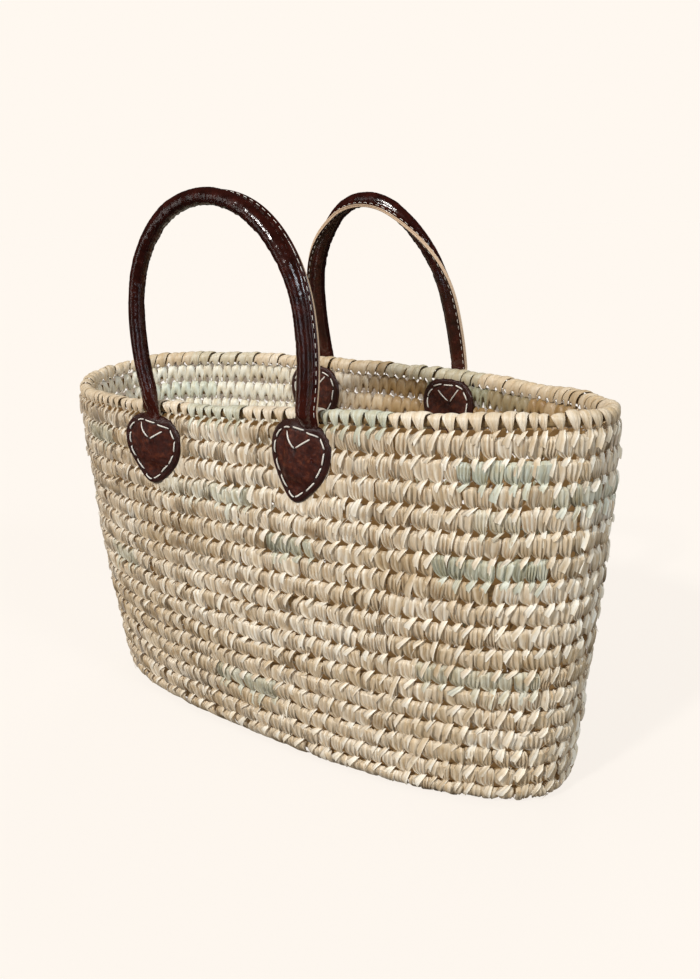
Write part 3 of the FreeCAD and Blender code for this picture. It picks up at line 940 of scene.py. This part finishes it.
def stitching(name, parts):
    # one mesh of all the stitches of a thread
    faces, offset = [], 0
    for verts, part_faces in parts:
        faces += [tuple(i + offset for i in face) for face in part_faces]
        offset += len(verts)
    return build_mesh("stitches_" + name, np.concatenate([verts for verts, _ in parts]), faces,
                      None, [thread], sharp=80)


def patch_stitch_lines():
    # thirteen stitches along the edge, and two long ones that meet in a V
    loop = patch_outline(520, stitch_inset)
    per = len(loop) / 13.0
    lines = []
    for k in range(13):
        start = k * per + per * 0.10
        lines.append(loop[np.linspace(start, start + per * 0.80, 12).astype(int) % len(loop)])
    lines.append(np.linspace((-13.0, 22.5), (-2.6, 11.0), 14))
    lines.append(np.linspace((10.5, 21.0), (-1.2, 11.4), 14))
    return lines


def patch_threads(key):
    parts = []
    for outer in (True, False):
        for line in patch_stitch_lines():
            pu, pv = (line + rng.normal(0, 0.35, 2)).T
            bow = 0.55 - 0.95 * np.linspace(-1, 1, len(line)) ** 4
            top = patch_height(pu, pv, np.full(len(line), 7.5), outer) + bow
            pts = patch_place(key, pu, pv, top, outer)
            lift = unit(patch_place(key, pu, pv, top + 1.0, outer) - pts)
            side = unit(np.cross(lift, unit(np.gradient(pts, axis=0))))
            parts.append(capsule(pts, side, lift, 0.6, 0.5))
    name = "%s_%s_patch_thread" % key
    attach(stitching(name, parts), "waxed_thread", name)


for key in patches:
    patch_piece(key, True)
    patch_piece(key, False)
    patch_threads(key)


# ---------------------------------------------------------------- rolled leather handles

# half the distance between the feet, the height of the crest, the lean at rest and the spread
# of the feet in degrees, and the twist of the seam at the right foot, the crest and the left
handle_setups = {
    "front": {"foot": 80.0, "crest": 144.0, "lean": -2.0, "spread": 13.5, "leg_radius": 180.0,
              "twist": (18.0, 71.0, 8.0)},
    "rear": {"foot": 73.0, "crest": 145.8, "lean": 13.0, "spread": 3.0, "leg_radius": 330.0,
             "twist": (-15.0, -105.0, -15.0)},
}
tongue_length = 40.0


def handle_line(setup):
    # five arcs from the right foot over the crest to the left foot, in the arch's plane
    start = math.radians(setup["spread"])
    leg = setup["leg_radius"]
    h1, h2, h3 = (math.radians(v) for v in (-8.0, -50.0, -90.0))
    x_left = -setup["foot"] - leg * (math.cos(h1) - math.cos(start))
    v_left = setup["crest"] - leg * (math.sin(start) - math.sin(h1))
    a, b = math.cos(h2) - math.cos(h1), math.cos(h3) - math.cos(h2)
    c, d = math.sin(h1) - math.sin(h2), math.sin(h2) - math.sin(h3)
    shoulder = (x_left * d - b * v_left) / (a * d - b * c)
    crest = (a * v_left - c * x_left) / (a * d - b * c)
    points, headings = [], []
    point, heading = np.array([setup["foot"], 0.0]), start
    for radius, angle in ((leg, start - h1), (shoulder, h1 - h2), (crest, 2 * (h2 - h3)),
                          (shoulder, h1 - h2), (leg, start - h1)):
        centre = point - radius * np.array([math.cos(heading), -math.sin(heading)])
        steps = max(2, int(radius * angle / 0.8))
        for k in range(steps + 1):
            now = heading - angle * k / steps
            point = centre + radius * np.array([math.cos(now), -math.sin(now)])
            if k < steps:
                points.append(point)
                headings.append(now)
        heading -= angle
    return np.array(points + [point]), np.array(headings + [heading])


def section():
    # the rolled sleeve's cross-section: a circle with the two sewn edges standing out
    flange = [(10.0, 0.0), (10.35, 0.5), (10.3, 1.4), (9.6, 1.7), (8.4, 1.55), (7.4, 1.5),
              (6.5, 1.9)]
    ring = [(sleeve_radius * math.cos(t), sleeve_radius * math.sin(t))
            for t in np.radians(np.linspace(26.0, 334.0, 36))]
    points = np.array(flange + ring + [(r, -a) for r, a in reversed(flange[1:])])
    number = np.arange(len(points))
    raw = (number < 3) | (number >= len(points) - 2)
    return points, raw, (number < len(flange)) | (number >= len(flange) + len(ring))


def tongue(key, foot_x, side):
    # the handle's line goes on down behind its outer patch
    q = np.linspace(0, 1, 47)[1:]
    x = foot_x + 0.35 * (patches[key]["x"] - foot_x) * smoothstep(q / 0.6)
    z = hinge_height - tongue_length * q
    share = np.array([share_at(one_x, one_z, side) for one_x, one_z in zip(x, z)])
    on_wall = wall(share, z, np.full(len(q), 2.9))
    hanging = np.stack([x, np.full(len(q), side * hinge_y), z], -1)
    ease = smoothstep(q / 0.42)[:, None]
    return hanging * (1 - ease) + on_wall * ease, q


def hang(obj, slot, end, *replaced):
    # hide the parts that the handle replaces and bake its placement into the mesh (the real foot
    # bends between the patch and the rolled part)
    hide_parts(*replaced)
    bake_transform(obj)


def handle_piece(end, setup):
    side = sides[end]
    lean = math.radians(setup["lean"]) * side
    plane, headings = handle_line(setup)
    x, v = plane.T
    arch_line = np.stack([x, side * hinge_y - v * math.sin(lean),
                          hinge_height + v * math.cos(lean)], -1)
    outward = np.stack([np.cos(headings), np.sin(headings) * math.sin(lean),
                        -np.sin(headings) * math.cos(lean)], -1)
    right, q = tongue((end, "right"), setup["foot"], side)
    left, _ = tongue((end, "left"), -setup["foot"], side)
    line = np.vstack([right[::-1], arch_line, left])
    # how far down a tongue each ring is, from 0 to 1
    down = np.concatenate([q[::-1], np.zeros(len(plane)), q])
    rings = len(line)
    tangent = unit(np.gradient(line, axis=0))
    plane_normal = np.array([0.0, math.cos(lean), math.sin(lean)])
    out_dir = unit(np.cross(tangent, plane_normal[None]))
    known = np.vstack([np.repeat(outward[:1], len(q), 0), outward,
                       np.repeat(outward[-1:], len(q), 0)])
    out_dir = out_dir * np.sign(np.sum(out_dir * known, axis=-1, keepdims=True))
    normal = np.repeat(plane_normal[None], rings, 0)
    normal = unit(normal - tangent * np.sum(normal * tangent, -1, keepdims=True))

    # the seam twists along the arch
    length = run_length(line)
    along, arch = length - tongue_length, length[-1] - 2 * tongue_length
    part = np.clip(along / arch, 0, 1)
    crest_share = smoothstep(1 - np.abs(part - 0.5) / 0.36)
    ends = np.where(part < 0.5, setup["twist"][0], setup["twist"][2])
    twist = np.radians(ends + (setup["twist"][1] - ends) * crest_share)[:, None]
    reach = out_dir * np.cos(twist) + normal * np.sin(twist)
    across = -out_dir * np.sin(twist) + normal * np.cos(twist)

    # the sewn edges die away inside the patch, where the sleeve spreads into the tongue
    points, raw, is_flange = section()
    angle = np.arctan2(points[:, 1], points[:, 0])
    aa, ll = np.meshgrid(sleeve_radius * angle, along, indexing="xy")
    gone = is_flange[None] * smoothstep((down - 0.25) / 0.2)[:, None]
    pr = points[None, :, 0] * (1 - gone) + 5.9 * gone

    # folds: pinched on the inner side of the bends, wrinkled near the feet
    inner_side = np.clip(-np.cos(angle[None] + twist), 0, 1)
    bend = smoothstep((0.40 - np.abs(part - 0.5)) / 0.2)[:, None]
    pinches = np.abs(value_noise((ll + 0.55 * aa) / 3.4, aa / 9.0, 41)) ** 0.7
    wrinkles = np.abs(value_noise((ll - 0.4 * aa) / 2.2, aa / 6.0, 42)) ** 0.8
    foot = (1 - smoothstep(np.minimum(along, arch - along) / 26.0))[:, None]
    folds = (-0.8 * (1 - pinches) * np.clip(inner_side * 1.4, 0, 1) * bend
             - 0.5 * (1 - wrinkles) * foot + 0.16 * value_noise(ll / 6.0, aa / 6.0, 43)
             + 0.12 * value_noise(ll / 1.6, aa / 3.2, 44)) * ~is_flange[None]
    fat = 1.0 + 0.03 * value_noise(ll / 40.0, 0 * aa, 45)
    pr = (pr + folds * np.cos(angle)[None]) * fat
    pa = (points[None, :, 1] + folds * np.sin(angle)[None]) * fat
    offset = pr[..., None] * reach[:, None] + pa[..., None] * across[:, None]

    # the tongue is wider along the wall and thinner through it
    shares = np.array([patches[end, "right"]["share"], patches[end, "left"]["share"]])
    _, wall_out = wall_frame(shares, np.full(2, 285.0))
    facing = wall_out[(np.arange(rings) >= rings / 2).astype(int)][:, None]
    squeeze = smoothstep((down - 0.06) / 0.30)[:, None, None]
    depth = np.sum(offset * facing, -1, keepdims=True) * facing
    offset = (offset - depth) * (1 + 0.12 * squeeze) + depth * (1 - 0.66 * squeeze)

    m = len(points)
    faces = ring_quads(rings, m).tolist() + [range(m), range((rings - 1) * m, rings * m)[::-1]]
    edge_face = (raw & np.roll(raw, -1))[None] & (down[:-1] < 0.5)[:, None]
    fields = {"skin": np.stack([ll, aa, 0 * ll], -1).reshape(-1, 3),
              "wear": np.clip(foot * 0.7 + 0 * aa, 0, 1).ravel()}
    obj = build_mesh("leather_%s_handle" % end, line[:, None] + offset, faces, fields,
                     [leather, raw_edge], np.concatenate([edge_face.ravel(), [0, 0]]), sharp=65)
    hang(obj, "dark_leather", end, end + "_handle_sleeve", end + "_handle_core",
         end + "_left_handle_tongue", end + "_right_handle_tongue")

    # running stitches on both faces of the standing edge
    def at(places, values):
        return np.stack([np.interp(places, along, values[:, axis]) for axis in range(3)], -1)

    pitch, half_stitch = 6.0, 2.1
    t = np.linspace(-half_stitch, half_stitch, 7)
    bow = 0.35 - 0.75 * np.abs(t / half_stitch) ** 4
    parts = []
    for k in range(int((arch + 6) / pitch)):
        places = -4.0 + (k + 0.5) * pitch + float(rng.normal(0, 0.25)) + t
        out_way, face_way = unit(at(places, reach)), unit(at(places, across))
        for face in (-1, 1):
            pts = at(places, line) + out_way * 8.45 + face_way * (face * (1.5 + bow))[:, None]
            lift = face_way * face
            cross = unit(np.cross(lift, unit(np.gradient(pts, axis=0))))
            parts.append(capsule(pts, cross, lift, 0.21, 0.24, 6))
    hang(stitching("%s_handle" % end, parts), "waxed_thread", end, end + "_handle_seam_thread")


for end, setup in handle_setups.items():
    handle_piece(end, setup)


# ---------------------------------------------------------------- floor, light, camera

backdrop = np.array([1.0, 0.939, 0.871])
ambient = 0.37 * np.array([1.0, 0.98, 0.95])
# name, azimuth, elevation, strength, angle and colour
suns = [("key", -4.0, 37.0, 2.5, 5.0, (1.0, 0.985, 0.955)),
        ("side", 80.0, 27.0, 1.25, 12.0, (0.80, 0.91, 1.0)),
        ("back", 200.0, 40.0, 0.5, 30.0, (1.0, 0.98, 0.95)),
        ("top", -60.0, 66.0, 0.55, 50.0, (1.0, 0.98, 0.95))]
floor_albedo = np.array([0.10, 0.094, 0.087])
floor_light = ambient + sum(np.array(tint) * power * math.sin(math.radians(height)) / math.pi
                            for _, _, height, power, _, tint in suns)


def floor_material():
    # pale as the backdrop once the lights have fallen on it
    look = Look("pale_floor")
    settings = {"Base Color": (*floor_albedo, 1.0), "Roughness": 1.0, "Specular IOR Level": 0.0,
                "Emission Color": (*(backdrop - floor_albedo * floor_light), 1.0),
                "Emission Strength": 1.0}
    for name, value in settings.items():
        plug(look.tree, value, look.shader.inputs[name])
    return look.material


disc, floor_radius, floor_z = 96, 60000, -0.6
turn = 2 * math.pi * np.arange(disc) / disc
floor_verts = np.vstack([np.zeros((1, 3)), np.stack([floor_radius * np.cos(turn),
                                                     floor_radius * np.sin(turn), 0 * turn], -1)])
floor = build_mesh("floor", floor_verts + (0, 0, floor_z),
                   [(0, 1 + k, 1 + (k + 1) % disc) for k in range(disc)], None,
                   [floor_material()])
floor.visible_diffuse = False
floor.visible_glossy = False

scene = bpy.context.scene
world = bpy.data.worlds.new("studio")
scene.world = world
world.use_nodes = True
world.node_tree.nodes.clear()


def world_node(kind, *links):
    made = add_node(world.node_tree, kind)
    for socket, link in zip(made.inputs, links):
        plug(world.node_tree, link, socket)
    return made.outputs


def background(tint):
    return world_node("ShaderNodeBackground", (*tint, 1.0), 1.0)[0]


rays = world_node("ShaderNodeLightPath")
calm = world_node("ShaderNodeMixShader", rays["Is Glossy Ray"], background(ambient),
                  background(ambient * 0.06))[0]
world_node("ShaderNodeOutputWorld", world_node("ShaderNodeMixShader", rays["Is Camera Ray"],
                                               calm, background(backdrop))[0])


def sun(name, azimuth, elevation, strength, angle, tint):
    light = bpy.data.lights.new(name, "SUN")
    light.energy = strength
    light.angle = math.radians(angle)
    light.color = tint
    obj = bpy.data.objects.new(name, light)
    az, el = math.radians(azimuth), math.radians(elevation)
    z = np.array([math.sin(az) * math.cos(el), -math.cos(az) * math.cos(el), math.sin(el)])
    x = unit(np.cross([0, 0, 1], z))
    y = np.cross(z, x)
    obj.matrix_world = Matrix([(x[k], y[k], z[k], 0) for k in range(3)] + [(0, 0, 0, 1)])
    scene.collection.objects.link(obj)
    obj.visible_glossy = name in ("key", "side")


for settings in suns:
    sun(*settings)


def softbox(name, azimuth, wide, low, high, strength, tint):
    # a tall lit panel that only shows as a reflection in the leather
    look = Look(name)
    look.tree.nodes.remove(look.shader)
    glow = add_node(look.tree, "ShaderNodeEmission", Color=(*tint, 1.0), Strength=strength)
    plug(look.tree, glow.outputs[0], look.tree.nodes["Material Output"].inputs["Surface"])
    az = math.radians(azimuth)
    where = np.array([math.sin(az), -math.cos(az), 0.0]) * 1600.0
    along = np.array([math.cos(az), math.sin(az), 0.0]) * 0.5 * wide
    up = np.array([0.0, 0.0, 1.0])
    corners = [where - along + up * low, where + along + up * low, where + along + up * high,
               where - along + up * high]
    panel = build_mesh(name, corners, [(0, 1, 2, 3)], None, [look.material])
    panel.visible_camera = False
    panel.visible_diffuse = False
    panel.visible_shadow = False
    panel.visible_transmission = False


softbox("panel_left", -36.0, 90.0, -900.0, 1200.0, 6.5, (1.0, 0.96, 0.92))
softbox("panel_right", 77.0, 110.0, -900.0, 1200.0, 4.0, (0.86, 0.93, 1.0))
softbox("panel_front", 20.0, 120.0, -60.0, 700.0, 7.0, (0.80, 0.88, 1.0))

# the photo's camera: its place in millimetres, its angles, and its focal length in pixels
eye = np.array([505.135, -607.967, 427.661])
yaw, pitch_down, roll = 0.658868, 0.273417, -0.027769
focal_length, picture_width = 952.593, 979.0
forward = np.array([-math.sin(yaw) * math.cos(pitch_down),
                    math.cos(yaw) * math.cos(pitch_down), -math.sin(pitch_down)])
level = np.array([math.cos(yaw), math.sin(yaw), 0.0])
upward = np.cross(level, forward)
right_dir = level * math.cos(roll) + upward * math.sin(roll)
up_dir = -level * math.sin(roll) + upward * math.cos(roll)
camera = bpy.data.cameras.new("camera")
camera.sensor_width = 36.0
camera.lens = focal_length / picture_width * camera.sensor_width
camera.clip_end = 200.0
camera.dof.use_dof = False
camera_obj = bpy.data.objects.new("camera", camera)
camera_obj.matrix_world = Matrix(
    [(right_dir[k], up_dir[k], -forward[k], eye[k] / 1000) for k in range(3)] + [(0, 0, 0, 1)])
scene.collection.objects.link(camera_obj)
scene.camera = camera_obj
scene.view_settings.view_transform = "Standard"
